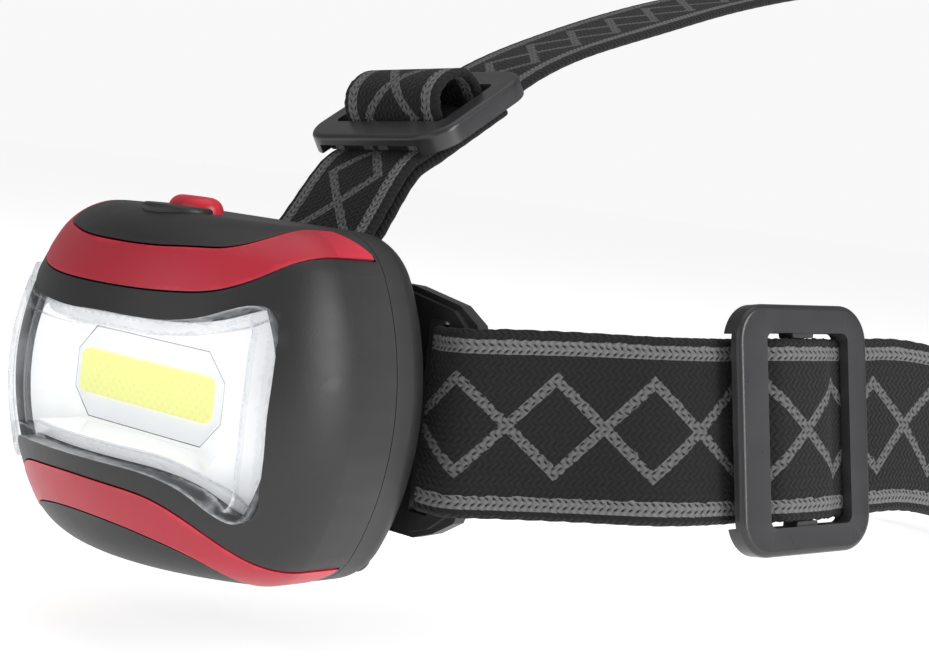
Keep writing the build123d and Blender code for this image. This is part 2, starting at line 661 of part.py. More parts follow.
# ---- webbing: flat ribbons that follow smooth curves -------------------------------------
def smooth(points, steps):
    """Catmull-Rom curve through the points, with so many steps from each to the next."""
    pts = [Vector(*p) for p in points]
    ends = [pts[0] * 2 - pts[1]] + pts + [pts[-1] * 2 - pts[-2]]
    out = []
    for i in range(1, len(ends) - 2):
        p0, p1, p2, p3 = ends[i - 1:i + 3]
        for k in range(steps):
            t = k / steps
            a = p1 * 2
            b = (p2 - p0) * t
            c = (p0 * 2 - p1 * 5 + p2 * 4 - p3) * (t * t)
            d = (p1 * 3 - p0 - p2 * 3 + p3) * (t * t * t)
            out.append((a + b + c + d) * 0.5)
    out.append(pts[-1])
    return out


def lean_at(point):
    """How far the band leans in at the top there: upright at the bracket, most at the sides."""
    return LEAN * ease(abs(point.X), 36.0, 55.0)


def side_frame(point, tangent, turned):
    """Across and normal directions of the headband at a point."""
    out = tangent.cross(Vector(0, 0, 1)).normalized()
    up = out.cross(tangent).normalized()
    lean = math.radians(lean_at(point)) * (-1 if turned else 1)
    across = up * math.cos(lean) - out * math.sin(lean)
    normal = out * math.cos(lean) + up * math.sin(lean)
    return across, normal


def ease(value, start, full):
    """0 at start and 1 at full, with a smooth change between them."""
    share = min(max((value - start) / (full - start), 0.0), 1.0)
    return share * share * (3 - 2 * share)


def top_frame(point, tangent, turned):
    """Across and normal directions of the top strap: along X, with a slight twist at its slider."""
    flat = Vector(1, 0, 0)
    out = tangent.cross(flat).normalized()
    if out.Z < 0:
        out = out * -1
    twist = math.radians(TOP_TWIST) * ease(point.Z, 18.0, 36.0) * (1 - ease(point.Y, 20.0, 60.0))
    across = flat * math.cos(twist) + out * math.sin(twist)
    return across, tangent.cross(across).normalized()


def ribbon(curve, frame, turned=False, width=WEB_WIDTH, shift=0.0):
    """A closed ribbon, WEB_T thick, along the curve."""
    sections = []
    last = len(curve) - 1
    for i, point in enumerate(curve):
        tangent = (curve[min(i + 1, last)] - curve[max(i - 1, 0)]).normalized()
        across, normal = frame(point, tangent, turned)
        middle = point + normal * shift
        corners = []
        for a, n in ((-0.5, -0.5), (0.5, -0.5), (0.5, 0.5), (-0.5, 0.5)):
            corner = middle + across * (a * width) + normal * (n * WEB_T)
            corners.append((corner.X, corner.Y, corner.Z))
        sections.append(make_face(Polyline(corners, close=True)))
    return as_one(loft(sections, ruled=True))


# The slider's seat on each side: a point in the middle of the webbing, and the band's way there.
SEAT = Vector(58.6, 24.9, 3.2)
SEAT_ANGLE = 79.9
SEAT_RISE = 0.035
SEAT_PLAN = Vector(math.cos(math.radians(SEAT_ANGLE)), math.sin(math.radians(SEAT_ANGLE)), 0)
SEAT_WAY = (SEAT_PLAN + Vector(0, 0, SEAT_RISE)).normalized()
SLIDER_AHEAD = 1.6       # the slider's middle lies this far along from the seat
SEAM_AT = 4.0            # the loop meets the headband this far behind the seat
SEAM_HALF = 0.15
INNER_END = 11.0         # the loop's inner layer ends this far behind the slider's middle

# The top slider's seat: (y, z) and its rise.
TOP_SEAT = Vector(0, 8.5, 39.3)
TOP_ANGLE = 32.0
TOP_SEAM_AT = 3.0
TOP_TWIST = 4.3          # degrees by which the top slider leans over, its right end up
TOP_WAY = Vector(0, math.cos(math.radians(TOP_ANGLE)), math.sin(math.radians(TOP_ANGLE)))


def seat_point(along):
    p = SEAT + SEAT_WAY * along
    return (p.X, p.Y, p.Z)


def top_seat_point(along):
    p = TOP_SEAT + TOP_WAY * along
    return (p.X, p.Y, p.Z)


LAYER_GAP = 1.6
BRACKET_LEAD = [(30.2, -13.35, 0.0), (33.0, -13.3, 0.2), (36.4, -11.2, 0.6)]
BRACKET_LEAD = BRACKET_LEAD + [(45.0, -3.0, 1.6), (53.2, 5.2, 2.4)]
SIDE_TURN = [(33.4, -7.9, 0.2), (30.0, -7.85, 0.0), (28.0, -8.1, 0.0), (27.3, -9.4, 0.0)]
SIDE_TURN = SIDE_TURN + [(27.3, -11.8, 0.0), (27.9, -13.05, 0.0)]


def side_path(end):
    """Curve of the outer layer, from the bracket's end bar to so far behind the slider's middle."""
    return smooth(BRACKET_LEAD + [seat_point(-11.5), seat_point(0.0), seat_point(end)], 3)


def inner_layer(outer, first, frame, way):
    """The layer beside the outer one on the head's side, from its far end back to a start index."""
    last = len(outer) - 1
    layer = []
    for i in range(last, first - 1, -1):
        tangent = (outer[min(i + 1, last)] - outer[max(i - 1, 0)]).normalized()
        _, normal = frame(outer[i], tangent, False)
        layer.append(outer[i] + normal * (way * LAYER_GAP))
    return layer


def make_side_loop():
    """Webbing doubled round the bracket's end bar: inner layer in, outer layer back out."""
    inner = inner_layer(side_path(INNER_END), 7, side_frame, -1)
    outer = side_path(SEAM_AT - SEAM_HALF)
    return ribbon_through(inner + [Vector(*p) for p in SIDE_TURN] + outer)


def ribbon_through(points):
    """A side ribbon whose lean stays inwards although the path turns back on itself."""
    sections = []
    last = len(points) - 1
    for i, point in enumerate(points):
        tangent = (points[min(i + 1, last)] - points[max(i - 1, 0)]).normalized()
        inward_bound = tangent.dot(Vector(0.66, 0.75, 0)) < 0
        across, normal = side_frame(point, tangent, inward_bound)
        corners = []
        for a, n in ((-0.5, -0.5), (0.5, -0.5), (0.5, 0.5), (-0.5, 0.5)):
            corner = point + across * (a * WEB_WIDTH) + normal * (n * WEB_T)
            corners.append((corner.X, corner.Y, corner.Z))
        sections.append(make_face(Polyline(corners, close=True)))
    return as_one(loft(sections, ruled=True))


REAR_Z = -17.0            # middle of the headband behind the head


def headband_points():
    """Round the back of the head, from the right slider to the rear buckle's middle."""
    return [
        seat_point(SEAM_AT + SEAM_HALF), seat_point(14.0), seat_point(27.0), (65.5, 64.0, 2.2),
        (66.8, 76.0, -2.5), (68.3, 88.0, -8.0), (69.3, 100.0, -12.8), (68.6, 115.0, -16.0),
        (66.0, 135.0, -17.5), (57.0, 160.0, -17.5), (42.0, 186.0, REAR_Z), (29.0, 200.5, REAR_Z),
        (21.5, 205.75, REAR_Z), (18.2, 205.75, REAR_Z), (15.4, 204.6, REAR_Z), (12.4, 202.2, REAR_Z),
        (9.4, 200.9, REAR_Z), (0.0, 200.75, REAR_Z),
    ]


def make_headband():
    half = smooth(headband_points(), 3)
    other = [Vector(-p.X, p.Y, p.Z) for p in reversed(half[:-1])]
    return ribbon(half + other, side_frame)


TOP_LEAD = [(0, -13.25, 14.6), (0, -13.25, 16.6), (0, -11.9, 19.2), (0, -8.6, 23.6), (0, -2.6, 32.2)]
TOP_TURN = [(0, -7.75, 16.8), (0, -7.75, 14.6), (0, -8.3, 13.0), (0, -9.4, 12.4)]
TOP_TURN = TOP_TURN + [(0, -11.8, 12.4), (0, -12.9, 13.0)]


def top_path(end):
    """Curve of the outer layer, from the bracket's top bar to so far behind the slider's middle."""
    return smooth(TOP_LEAD + [top_seat_point(-7.0), top_seat_point(0.0), top_seat_point(end)], 3)


def make_top_loop():
    inner = inner_layer(top_path(8.5), 8, top_frame, 1)
    outer = top_path(TOP_SEAM_AT - SEAM_HALF)
    return ribbon(inner + [Vector(*p) for p in TOP_TURN] + outer, top_frame, width=TOP_WIDTH)


def top_strap_points():
    """Over the crown from the top slider, down to the rear buckle and back up behind its bar."""
    return [
        top_seat_point(TOP_SEAM_AT + SEAM_HALF), top_seat_point(9.0), top_seat_point(18.0), (0, 34.0, 53.6),
        (0, 50.0, 59.4), (0, 70.0, 66.0), (0, 88.0, 71.0), (0, 105.0, 75.0), (0, 123.0, 78.8), (0, 140.0, 82.5),
        (0, 156.0, 85.0), (0, 170.0, 86.0), (0, 183.0, 81.0), (0, 194.0, 63.0), (0, 201.0, 42.0), (0, 205.0, 18.0),
        (0, 205.7, 4.2), (0, 204.9, 1.6), (0, 203.3, 0.6), (0, 201.7, 1.6), (0, 200.9, 4.2), (0, 200.6, 11.8),
        (0, 198.9, 21.8),
    ]


def make_top_strap():
    return ribbon(smooth(top_strap_points(), 3), top_frame, width=TOP_WIDTH)


# ---- sliders ---------------------------------------------------------------------------
def glide_frame(size):
    """A tri-glide lying flat: X along the webbing, Y across it, Z outwards from its middle."""
    length, height, web_width, rim, front, back = size
    window_length = length - front - back
    window_x = (front - back) / 2
    z0 = GLIDE_LIFT
    frame = Pos(0, 0, z0 + GLIDE_T / 2) * Box(length, height, GLIDE_T)
    frame = fillet(frame.edges().filter_by(Axis.Z), 5.2)
    frame = fillet(frame.edges().group_by(Axis.Z)[-1], 0.8)
    window = Pos(window_x, 0, 0) * Box(window_length, height - 2 * rim, 20)
    window = fillet(window.edges().filter_by(Axis.Z), 1.1)
    frame = frame - window
    width, thick = CENTRE_BAR
    bar = Pos(0, 0, z0 + thick / 2) * Box(width, height - 2 * rim + 0.4, thick)
    frame = frame + bar
    for side in (-1, 1):
        y = side * (height / 2 - rim + 0.1)
        boss = Pos(0, y, z0 + GLIDE_T / 2 - 0.2) * Cylinder(2.1, GLIDE_T - 0.4)
        keep = Pos(0, side * height / 2, z0) * Box(6, 2 * rim + 1.3, 10)
        frame = frame + (boss & keep)
    web = WEB_T + 0.15
    tunnel = Pos(0, 0, z0 + web / 2) * Box(length + 2, web_width + 1.2, web)
    under_bars = tunnel - Pos(window_x, 0, 0) * Box(window_length, 60, 30)
    return as_one(frame - under_bars)


def glide_webbing(size, slack):
    """The bight of webbing that shows in the slider's window, over the centre bar.
    A slack bight stands up out of the window in a loop."""
    length, _, web_width, _, front, back = size
    end = length / 2 - 1.4
    edge = length / 2 - max(front, back)
    z = GLIDE_LIFT + WEB_T / 2 + 0.08
    high = GLIDE_LIFT + CENTRE_BAR[1] + WEB_T / 2 + 0.12
    right = [(1.7, 0, high), (edge * 0.6, 0, z + 1.2), (edge - 0.5, 0, z + 0.04), (end, 0, z)]
    if slack:
        right = [(0.0, 0, 8.2), (3.0, 0, 7.4), (4.4, 0, 5.2), (4.5, 0, 3.3), (5.8, 0, z + 0.03), (end, 0, z)]
    left = [(-x, y, h) for x, y, h in reversed(right) if x > 0]

    def frame(point, tangent, turned):
        across = Vector(0, 1, 0)
        return across, tangent.cross(across).normalized()

    return ribbon(smooth(left + right, 3), frame, width=web_width)


def side_seat_plane():
    _, normal = side_frame(SEAT, SEAT_WAY, False)
    return Plane(origin=SEAT + SEAT_WAY * SLIDER_AHEAD, x_dir=SEAT_WAY, z_dir=normal)


def top_seat_plane():
    _, normal = top_frame(TOP_SEAT, TOP_WAY, False)
    return Plane(origin=TOP_SEAT, x_dir=TOP_WAY, z_dir=normal * -1)


# ---- rear buckle -----------------------------------------------------------------------
def make_rear_buckle():
    y0, y1 = 202.0, 204.6
    outline = [(-13.5, 5.0), (13.5, 5.0), (17.0, 1.8), (21.0, -3.0), (21.0, -30.5), (18.6, -32.9)]
    outline = outline + [(-18.6, -32.9), (-21.0, -30.5), (-21.0, -3.0), (-17.0, 1.8)]
    plate = prism_y(outline, y0, y1)
    plate = fillet(plate.edges().filter_by(Axis.Y), 1.4)
    for side in (-1, 1):
        x0, x1 = sorted((side * 9.0, side * 18.4))
        plate = plate - block(x0, x1, y0 - 1, y1 + 1, REAR_Z - SLOT_HALF, REAR_Z + SLOT_HALF)
    plate = plate - block(-TOP_SLOT_HALF, TOP_SLOT_HALF, y0 - 1, y1 + 1, -1.4, 2.6)
    return as_one(plate)


# ---- everything ------------------------------------------------------------------------
def main():
    trims, pockets = make_trims(head_body(-0.1, SEAM_Y), head_body(0.92, SEAM_Y + 2), head_body(0.9, SEAM_Y + 2))
    hole, surround, cap, boot = make_button()
    save(make_front_shell(pockets, hole), "front_shell")
    save(make_rear_shell(), "rear_shell")
    save(seal_ring(0.0), "seam_seal")
    save(make_lens(), "lens")
    save(make_reflector(), "reflector")
    led_board, phosphor, heat_plate = make_led()
    save(led_board, "led_board")
    save(phosphor, "led_phosphor")
    save(heat_plate, "heat_plate")
    save(trims[0], "trim_top")
    save(trims[1], "trim_bottom")
    save(surround, "button_surround")
    save(cap, "button")
    save(boot, "button_boot")
    board, board_screws, switch, plunger, chip, small_parts = make_electronics()
    save(board, "control_board")
    save(group(board_screws), "board_screws")
    save(as_one(switch), "tact_switch")
    save(plunger, "switch_plunger")
    save(chip, "driver_chip")
    save(group(small_parts), "board_components")
    led_wires, battery_wires = make_wires()
    save(group(led_wires), "led_wires")
    save(group(battery_wires), "battery_wires")
    save(make_tray(), "battery_tray")
    for number, (z, way) in enumerate(cell_rows(), 1):
        save(make_cell(z, way), "battery_cell_" + str(number))
    plates, springs = make_contacts()
    save(group(plates), "contact_plates")
    save(group(springs), "contact_springs")
    save(make_cover(), "battery_cover")
    save(group(make_shell_screws()), "shell_screws")
    save(make_bracket(), "bracket")
    save(make_pin(), "hinge_pin")
    save(make_pad(), "forehead_pad")
    loop = make_side_loop()
    save(loop, "side_loop_right")
    save(mirror(loop, Plane.YZ), "side_loop_left")
    save(make_headband(), "headband")
    save(make_top_loop(), "top_loop")
    save(make_top_strap(), "top_strap")
    pairs = [("slider", glide_frame(SIDE_GLIDE), glide_frame(TOP_GLIDE))]
    pairs.append(("slider_webbing", glide_webbing(SIDE_GLIDE, False), glide_webbing(TOP_GLIDE, True)))
    for name, side_shape, top_shape in pairs:
        right = side_seat_plane() * side_shape
        save(right, name + "_right")
        save(mirror(right, Plane.YZ), name + "_left")
        save(top_seat_plane() * top_shape, name + "_top")
    save(make_rear_buckle(), "rear_buckle")


main()
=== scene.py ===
import json
import math

import bmesh
import bpy
from mathutils import Matrix, Vector


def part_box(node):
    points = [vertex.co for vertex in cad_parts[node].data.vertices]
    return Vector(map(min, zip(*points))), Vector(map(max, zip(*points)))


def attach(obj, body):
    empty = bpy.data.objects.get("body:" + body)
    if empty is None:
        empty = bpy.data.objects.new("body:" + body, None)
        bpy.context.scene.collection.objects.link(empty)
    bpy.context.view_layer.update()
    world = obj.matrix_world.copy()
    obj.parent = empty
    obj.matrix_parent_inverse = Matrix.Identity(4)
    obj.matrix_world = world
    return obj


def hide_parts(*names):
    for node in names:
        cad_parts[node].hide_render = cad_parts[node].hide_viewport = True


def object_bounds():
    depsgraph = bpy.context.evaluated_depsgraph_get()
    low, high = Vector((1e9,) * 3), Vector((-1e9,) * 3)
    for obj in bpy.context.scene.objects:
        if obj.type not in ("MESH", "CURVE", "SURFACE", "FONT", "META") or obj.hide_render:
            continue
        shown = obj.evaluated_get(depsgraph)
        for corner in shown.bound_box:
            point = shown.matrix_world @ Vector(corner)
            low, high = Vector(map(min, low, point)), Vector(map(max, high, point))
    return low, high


# A headlamp on its elastic headband. Metres; the lamp shines along -Y, +Z is up, and the
# origin is the middle of the forehead pad's back face.

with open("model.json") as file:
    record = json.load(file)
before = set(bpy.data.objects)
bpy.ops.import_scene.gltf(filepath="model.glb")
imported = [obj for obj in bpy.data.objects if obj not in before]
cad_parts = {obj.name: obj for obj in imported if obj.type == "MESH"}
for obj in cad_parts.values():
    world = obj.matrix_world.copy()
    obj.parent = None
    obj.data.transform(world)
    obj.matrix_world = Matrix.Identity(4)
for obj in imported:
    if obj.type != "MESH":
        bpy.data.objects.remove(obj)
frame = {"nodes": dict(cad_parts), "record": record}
cad_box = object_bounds()
nodes = frame["nodes"]
MM = 0.001


# ---- camera ----------------------------------------------------------------------------
CAMERA_AZIMUTH = math.radians(41.5)
CAMERA_ELEVATION = math.radians(4.6)
CAMERA_ROLL = math.radians(6.9)
CAMERA_PLACE = Vector((0.1927, -0.1941, 0.0323))
CAMERA_LENS = 71.3


def add_camera():
    a, e, roll = CAMERA_AZIMUTH, CAMERA_ELEVATION, CAMERA_ROLL
    back = Vector((math.sin(a) * math.cos(e), -math.cos(a) * math.cos(e), math.sin(e)))
    level = Vector((math.cos(a), math.sin(a), 0.0))
    upright = back.cross(level)
    right = level * math.cos(roll) + upright * math.sin(roll)
    up = upright * math.cos(roll) - level * math.sin(roll)
    data = bpy.data.cameras.new("camera")
    data.lens = CAMERA_LENS
    data.sensor_width = 36.0
    data.clip_start = 0.01
    data.clip_end = 20.0
    camera = bpy.data.objects.new("camera", data)
    bpy.context.scene.collection.objects.link(camera)
    turn = Matrix((right, up, back)).transposed().to_4x4()
    camera.matrix_world = Matrix.Translation(CAMERA_PLACE) @ turn
    bpy.context.scene.camera = camera


add_camera()


# ---- materials -------------------------------------------------------------------------
class Nodes:
    """Short names for building one material's node tree."""

    def __init__(self, name):
        self.material = bpy.data.materials.new(name)
        self.material.use_nodes = True
        self.tree = self.material.node_tree
        self.tree.nodes.clear()
        self.out = self.tree.nodes.new("ShaderNodeOutputMaterial")

    def add(self, kind, **settings):
        node = self.tree.nodes.new(kind)
        for key, value in settings.items():
            setattr(node, key, value)
        return node

    def link(self, source, target):
        self.tree.links.new(source, target)

    def put(self, node, **values):
        for key, value in values.items():
            socket = node.inputs[key.replace("_", " ")]
            if isinstance(value, bpy.types.NodeSocket):
                self.link(value, socket)
            else:
                socket.default_value = value
        return node

    def principled(self, **values):
        node = self.put(self.add("ShaderNodeBsdfPrincipled"), **values)
        self.link(node.outputs["BSDF"], self.out.inputs["Surface"])
        return node

    def place(self):
        return self.add("ShaderNodeNewGeometry").outputs["Position"]

    def noise(self, scale, detail=3.0, roughness=0.5, vector=None):
        node = self.put(self.add("ShaderNodeTexNoise"), Scale=scale, Detail=detail, Roughness=roughness)
        self.link(vector if vector else self.place(), node.inputs["Vector"])
        return node.outputs["Fac"]

    def ramp(self, factor, stops):
        node = self.add("ShaderNodeValToRGB")
        ramp = node.color_ramp
        while len(ramp.elements) < len(stops):
            ramp.elements.new(0.5)
        for element, (at, colour) in zip(ramp.elements, stops):
            element.position = at
            element.color = colour if len(colour) == 4 else (*colour, 1.0)
        self.link(factor, node.inputs["Fac"])
        return node.outputs["Color"]

    def math(self, operation, a, b=0.0, c=0.0, clamp=False):
        node = self.add("ShaderNodeMath", operation=operation, use_clamp=clamp)
        for socket, value in zip(node.inputs, (a, b, c)):
            if isinstance(value, bpy.types.NodeSocket):
                self.link(value, socket)
            else:
                socket.default_value = value
        return node.outputs["Value"]

    def mix(self, factor, a, b):
        node = self.add("ShaderNodeMix", data_type="RGBA")
        for name, value in (("Factor", factor), ("A", a), ("B", b)):
            socket = [s for s in node.inputs if s.name == name and s.enabled][0]
            if isinstance(value, bpy.types.NodeSocket):
                self.link(value, socket)
            else:
                socket.default_value = value if name == "Factor" else (*value[:3], 1.0)
        return [s for s in node.outputs if s.enabled][0]

    def bump(self, height, distance, strength=1.0):
        node = self.put(self.add("ShaderNodeBump"), Height=height, Distance=distance, Strength=strength)
        return node.outputs["Normal"]

    def edge_highlight_mask(self, low, high):
        """0 on flat faces and 1 on sharp outer edges, where a highlight is painted."""
        sharp = self.add("ShaderNodeNewGeometry").outputs["Pointiness"]
        return self.ramp(sharp, [(low, (0, 0, 0)), (high, (1, 1, 1))])


def moulded(name, colour, lighter, roughness, grain=4200.0, depth=0.00003):
    """Moulded plastic: fine spark-eroded grain, slow random changes of tone and a painted highlight on its
    sharp edges.
    """
    n = Nodes(name)
    slow = n.noise(55.0, 4.0, 0.6)
    shade = n.mix(slow, colour, lighter)
    # painted edge highlight: a paler colour on sharp edges
    edge_highlight = tuple(min(1.0, c * 2.2 + 0.02) for c in lighter)
    tone_with_edge_highlight = n.mix(n.math("MULTIPLY", n.edge_highlight_mask(0.52, 0.6), 0.35), shade, edge_highlight)
    fine = n.noise(grain, 2.0, 0.7)
    rough = n.math("MULTIPLY_ADD", n.noise(240.0, 3.0, 0.6), 0.14, roughness - 0.07)
    shader = n.principled(Base_Color=tone_with_edge_highlight, Roughness=rough, Normal=n.bump(fine, depth, 0.6))
    shader.inputs["IOR"].default_value = 1.5
    return n.material


def metal(name, colour, roughness):
    n = Nodes(name)
    marks = n.noise(900.0, 4.0, 0.65)
    dulled = n.mix(marks, colour, tuple(c * 0.8 for c in colour))
    rough = n.math("MULTIPLY_ADD", marks, 0.15, roughness - 0.05)
    n.principled(Base_Color=dulled, Roughness=rough, Metallic=1.0, Normal=n.bump(marks, 0.00002, 0.4))
    return n.material


def clear_lens(name):
    """A clear moulding: it mirrors more at glancing angles, and its thick rim gets a painted highlight, paler
    and more opaque.
    """
    n = Nodes(name)
    facing = n.put(n.add("ShaderNodeLayerWeight"), Blend=0.35).outputs["Facing"]
    sheen = n.ramp(facing, [(0.0, (0.03,) * 3), (0.45, (0.06,) * 3), (0.8, (0.28,) * 3), (1.0, (0.6,) * 3)])
    split = n.add("ShaderNodeSeparateXYZ")
    n.link(n.place(), split.inputs["Vector"])
    curve = n.add("ShaderNodeNewGeometry").outputs["Pointiness"]
    # painted highlight: the sharp rim is tinted paler and mixes in more gloss
    edge = n.ramp(curve, [(0.50, (0, 0, 0)), (0.56, (1, 1, 1))])
    amount = n.math("MAXIMUM", sheen, n.math("MULTIPLY", edge, 0.55))
    ripple = n.bump(n.noise(70.0, 2.0, 0.5), 0.0001, 0.15)
    tint_with_rim_highlight = n.mix(edge, (0.30, 0.32, 0.34), (0.75, 0.77, 0.79))
    gloss = n.put(n.add("ShaderNodeBsdfPrincipled"), Base_Color=tint_with_rim_highlight, Normal=ripple)
    gloss.inputs["Roughness"].default_value = 0.05
    gloss.inputs["IOR"].default_value = 1.6
    clear = n.add("ShaderNodeBsdfTransparent")
    clear.inputs["Color"].default_value = (0.98, 0.985, 0.99, 1.0)
    mix = n.add("ShaderNodeMixShader")
    n.link(amount, mix.inputs["Fac"])
    n.link(clear.outputs["BSDF"], mix.inputs[1])
    n.link(gloss.outputs["BSDF"], mix.inputs[2])
    n.link(mix.outputs["Shader"], n.out.inputs["Surface"])
    return n.material


def white_reflector(name):
    """A glossy white tray with a painted glow, greyer and more mirror-like on its floor, where shade is
    painted and it glows less.
    """
    n = Nodes(name)
    split = n.add("ShaderNodeSeparateXYZ")
    n.link(n.place(), split.inputs["Vector"])
    height = n.math("MULTIPLY_ADD", split.outputs["Z"], 60.0, 0.75)
    # painted shade: the lower part of the tray is mixed towards grey
    low = n.ramp(height, [(0.0, (1, 1, 1)), (0.45, (0, 0, 0))])
    ripple = n.noise(120.0, 3.0, 0.55)
    shaded_grey = n.mix(ripple, (0.28, 0.29, 0.30), (0.80, 0.81, 0.82))
    white = n.mix(ripple, (0.78, 0.79, 0.80), (0.88, 0.89, 0.90))
    tone = n.mix(n.math("MULTIPLY", low, 0.75), white, shaded_grey)
    # painted glow, weaker where the shade is painted
    painted_glow = n.math("MULTIPLY_ADD", low, -0.30, 0.42)
    shader = n.principled(Base_Color=tone, Emission_Strength=painted_glow)
    shader.inputs["Roughness"].default_value = 0.16
    shader.inputs["Coat Weight"].default_value = 0.5
    shader.inputs["Coat Roughness"].default_value = 0.06
    shader.inputs["Emission Color"].default_value = (1.0, 1.0, 1.0, 1.0)
    return n.material


def phosphor(name):
    """The strip of chips under yellow phosphor: faint rows of darker dots in a grainy gel, with a painted
    glow.
    """
    n = Nodes(name)
    split = n.add("ShaderNodeSeparateXYZ")
    n.link(n.place(), split.inputs["Vector"])
    cell = 1.55 * MM
    dots = None
    for axis in ("X", "Z"):
        wave = n.math("SINE", n.math("MULTIPLY", split.outputs[axis], 2 * math.pi / cell))
        dots = wave if dots is None else n.math("MULTIPLY", dots, wave)
    spot = n.math("GREATER_THAN", dots, 0.55)
    grain = n.noise(2600.0, 2.0, 0.6)
    gel = n.mix(grain, (0.80, 0.80, 0.24), (0.88, 0.88, 0.34))
    colour = n.mix(n.math("MULTIPLY", spot, 0.22), gel, (0.66, 0.66, 0.2))
    shader = n.principled(Base_Color=colour, Emission_Color=colour, Normal=n.bump(grain, 0.00005, 0.5))
    shader.inputs["Roughness"].default_value = 0.45
    # painted glow
    shader.inputs["Emission Strength"].default_value = 0.36
    return n.material


def board_white(name):
    n = Nodes(name)
    tone = n.mix(n.noise(400.0, 3.0, 0.6), (0.80, 0.81, 0.85), (0.88, 0.89, 0.92))
    shader = n.principled(Base_Color=tone)
    shader.inputs["Roughness"].default_value = 0.35
    # painted glow
    shader.inputs["Emission Color"].default_value = (0.9, 0.92, 1.0, 1.0)
    shader.inputs["Emission Strength"].default_value = 0.26
    return n.material


def circuit_board(name):
    """Green solder mask with paler copper lines under it."""
    n = Nodes(name)
    split = n.add("ShaderNodeSeparateXYZ")
    n.link(n.place(), split.inputs["Vector"])
    lines = n.math("PINGPONG", n.math("ADD", split.outputs["X"], split.outputs["Y"]), 0.9 * MM)
    track = n.math("LESS_THAN", lines, 0.22 * MM)
    colour = n.mix(n.math("MULTIPLY", track, 0.6), (0.012, 0.11, 0.04), (0.05, 0.26, 0.1))
    shader = n.principled(Base_Color=colour)
    shader.inputs["Roughness"].default_value = 0.3
    return n.material


def cell_jacket(name):
    """A plain shrink sleeve in two tones, with a bright metal band at the ends."""
    n = Nodes(name)
    split = n.add("ShaderNodeSeparateXYZ")
    n.link(n.place(), split.inputs["Vector"])
    distance = n.math("ABSOLUTE", split.outputs["X"])
    end = n.math("GREATER_THAN", distance, 20.4 * MM)
    collar = n.math("GREATER_THAN", split.outputs["X"], 11.0 * MM)
    sleeve = n.mix(collar, (0.03, 0.035, 0.05), (0.5, 0.28, 0.04))
    colour = n.mix(end, sleeve, (0.7, 0.7, 0.72))
    shader = n.principled(Base_Color=colour, Metallic=end)
    shader.inputs["Roughness"].default_value = 0.28
    return n.material


def foam(name):
    n = Nodes(name)
    cells = n.put(n.add("ShaderNodeTexVoronoi"), Scale=1500.0)
    n.link(n.place(), cells.inputs["Vector"])
    pores = cells.outputs["Distance"]
    colour = n.mix(pores, (0.012, 0.012, 0.013), (0.045, 0.045, 0.048))
    shader = n.principled(Base_Color=colour, Normal=n.bump(pores, 0.00016, 0.8))
    shader.inputs["Roughness"].default_value = 0.9
    return n.material


def webbing(name, width):
    """Knitted elastic: dark ribs, a grey chain-knit stripe near each edge and a woven lozenge chain.
    The UV map runs in metres: U along the webbing and V across it from its middle."""
    n = Nodes(name)
    uv = n.add("ShaderNodeUVMap", uv_map="webbing").outputs["UV"]
    split = n.add("ShaderNodeSeparateXYZ")
    n.link(uv, split.inputs["Vector"])
    along, across = split.outputs["X"], split.outputs["Y"]
    course = 0.95 * MM
    wale = 0.85 * MM
    jitter = n.noise(900.0, 2.0, 0.5, uv)
    sway = n.math("MULTIPLY_ADD", jitter, 0.5 * MM, -0.25 * MM)
    u = n.math("ADD", along, sway)
    v = n.math("ADD", across, n.math("MULTIPLY", sway, 0.6))
    # each stitch is a small slanted loop, and slants the other way in the next wale
    row = n.math("DIVIDE", v, wale)
    odd = n.math("SUBTRACT", n.math("PINGPONG", row, 1.0), 0.5)
    phase = n.math("ADD", n.math("DIVIDE", u, course), n.math("MULTIPLY", odd, 0.9))
    loops = n.math("SINE", n.math("MULTIPLY", phase, 2 * math.pi))
    ribs = n.math("COSINE", n.math("MULTIPLY", row, 2 * math.pi))
    stitch = n.math("ADD", n.math("MULTIPLY", loops, 0.6), n.math("MULTIPLY", ribs, 0.4))
    lift = n.math("MULTIPLY_ADD", stitch, 0.5, 0.5)
    fuzz = n.noise(5200.0, 3.0, 0.7, uv)
    dark = n.mix(n.math("MULTIPLY", lift, fuzz), (0.001, 0.001, 0.0012), (0.006, 0.006, 0.0066))
    thread = n.math("MULTIPLY_ADD", fuzz, 0.6, n.math("MULTIPLY", lift, 0.4))
    pale = n.mix(thread, (0.035, 0.035, 0.036), (0.24, 0.24, 0.245))
    # stripes
    side = n.math("ABSOLUTE", v)
    middle = width / 2 - 2.15 * MM
    off = n.math("ABSOLUTE", n.math("SUBTRACT", side, middle))
    ragged = n.math("MULTIPLY", n.math("SUBTRACT", jitter, 0.5), 0.5 * MM)
    stripe = n.math("LESS_THAN", n.math("ADD", off, ragged), 0.95 * MM)
    # lozenge chain
    pitch = width * 0.52
    fold = n.math("PINGPONG", u, pitch / 2)
    reach = n.math("MULTIPLY", fold, width * 0.25 / (pitch / 2))
    ring = n.math("ABSOLUTE", n.math("SUBTRACT", side, reach))
    chain = n.math("LESS_THAN", n.math("ADD", ring, ragged), 0.95 * MM)
    knitted = n.math("GREATER_THAN", n.math("ADD", lift, n.math("MULTIPLY", fuzz, 0.7)), 0.52)
    motif = n.math("MULTIPLY", chain, knitted)
    band = n.math("MULTIPLY", stripe, knitted)
    light = n.math("MAXIMUM", n.math("MULTIPLY", motif, 0.75), band)
    colour = n.mix(light, dark, pale)
    height = n.math("ADD", lift, n.math("MULTIPLY_ADD", light, 0.5, n.math("MULTIPLY", fuzz, 0.5)))
    shader = n.principled(Base_Color=colour, Normal=n.bump(height, 0.00022, 0.9))
    shader.inputs["Roughness"].default_value = 0.88
    shader.inputs["Sheen Weight"].default_value = 0.04
    shader.inputs["Sheen Roughness"].default_value = 0.5
    return n.material


